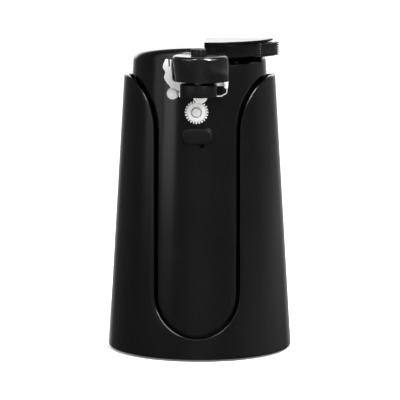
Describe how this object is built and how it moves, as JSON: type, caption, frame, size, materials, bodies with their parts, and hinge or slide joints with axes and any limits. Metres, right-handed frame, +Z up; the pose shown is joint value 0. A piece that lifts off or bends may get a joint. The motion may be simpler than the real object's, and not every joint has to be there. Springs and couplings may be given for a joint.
{
  "type": "electric can opener",
  "caption": "Upright electric can opener: tapered tower shell, toothed drive wheel and can rest on the front, hinged lever above with cutting wheel, magnet drum and ribbed grip.",
  "frame": {"origin": "centre of the rubber foot ring, on the table", "axes": "+Z up, -Y to the front where the cutter is, +X to the right of someone facing the cutter"},
  "size_m": [0.13, 0.1478, 0.2206],
  "materials": {
    "sleeve": "polished black",
    "front_cover": "polished black",
    "rear_cover": "polished black",
    "lever": "polished black",
    "magnet_housing": "polished black",
    "dark_plastic": "fine texture black",
    "rubber": "matt black",
    "inner_plastic": "natural white",
    "gear_plastic": "natural white",
    "cutter_steel": "polished",
    "bracket_steel": "rolled and tumbled",
    "plate_steel": "zinc plated",
    "screw_steel": "zinc plated",
    "iron_core": "laminated sheet, lacquered",
    "coil_tape": "wound and taped",
    "bronze": "sintered bronze",
    "aluminium": "die cast",
    "magnet": "nickel plated"
  },
  "bodies": {
    "case": {"outer_sleeve": "sleeve", "front_cover": "front_cover", "rear_cover": "rear_cover", "can_rest": "dark_plastic", "base_plate": "dark_plastic", "foot_ring": "rubber", "base_screws": "screw_steel", "cord_inlet": "rubber", "front_plate": "plate_steel", "rear_plate": "plate_steel", "plate_posts": "plate_steel", "case_screws": "screw_steel", "shaft_bushes": "bronze", "gear_axles": "screw_steel", "pivot_pin": "cutter_steel", "motor_stack": "iron_core", "coil_bobbin": "inner_plastic", "motor_coil": "coil_tape", "front_bracket": "aluminium", "rear_bracket": "aluminium", "motor_bearings": "bronze", "motor_bolts": "screw_steel", "switch_body": "dark_plastic", "plunger_spring": "screw_steel"},
    "lever": {"lever_handle": "lever", "lever_cap": "lever", "lever_screws": "screw_steel", "cutter_bracket": "bracket_steel", "cutter_axle": "cutter_steel", "magnet_housing": "magnet_housing"},
    "cutter": {"cutting_wheel": "cutter_steel"},
    "magnet": {"magnet_holder": "dark_plastic", "lid_magnet": "magnet", "magnet_stem": "cutter_steel", "magnet_knob": "dark_plastic"},
    "rotor": {"rotor_core": "iron_core", "motor_shaft": "plate_steel", "motor_pinion": "bronze", "cooling_fan": "inner_plastic"},
    "first": {"first_gear": "gear_plastic"},
    "second": {"second_gear": "gear_plastic"},
    "drive": {"drive_wheel": "cutter_steel", "drive_shaft": "cutter_steel", "output_gear": "gear_plastic"},
    "plunger": {"switch_plunger": "inner_plastic"}
  },
  "joints": [
    {"name": "lever_hinge", "type": "hinge", "parent": "case", "child": "lever", "pos_m": [-0.0165, -0.0514, 0.1857], "axis": [0, -1, 0], "range_deg": [-2.5, 60]},
    {"name": "cutter_spin", "type": "hinge", "parent": "lever", "child": "cutter", "pos_m": [0.0026, -0.0565, 0.1846], "axis": [0, -1, 0], "continuous": true},
    {"name": "magnet_float", "type": "slide", "parent": "lever", "child": "magnet", "axis": [0, 0, 1], "range_m": [0, 0.0016]},
    {"name": "rotor_spin", "type": "hinge", "parent": "case", "child": "rotor", "pos_m": [0, 0.005, 0.10426], "axis": [0, -1, 0], "continuous": true},
    {"name": "first_gear_spin", "type": "hinge", "parent": "case", "child": "first", "pos_m": [-0.005, -0.021, 0.12785], "axis": [0, -1, 0], "continuous": true},
    {"name": "second_gear_spin", "type": "hinge", "parent": "case", "child": "second", "pos_m": [0.005, -0.027, 0.1498], "axis": [0, -1, 0], "continuous": true},
    {"name": "drive_spin", "type": "hinge", "parent": "case", "child": "drive", "pos_m": [0, -0.033, 0.1734], "axis": [0, -1, 0], "continuous": true},
    {"name": "plunger_slide", "type": "slide", "parent": "case", "child": "plunger", "axis": [0, 0, -1], "range_m": [0, 0.0015], "stiffness_N_per_m": 400, "springref_m": -0.0015, "deforming": ["plunger_spring"]}
  ],
  "couplings": [
    {"joint": "first_gear_spin", "follows": "rotor_spin", "ratio": -0.2},
    {"joint": "second_gear_spin", "follows": "rotor_spin", "ratio": 0.05},
    {"joint": "drive_spin", "follows": "rotor_spin", "ratio": -0.016667}
  ]
}
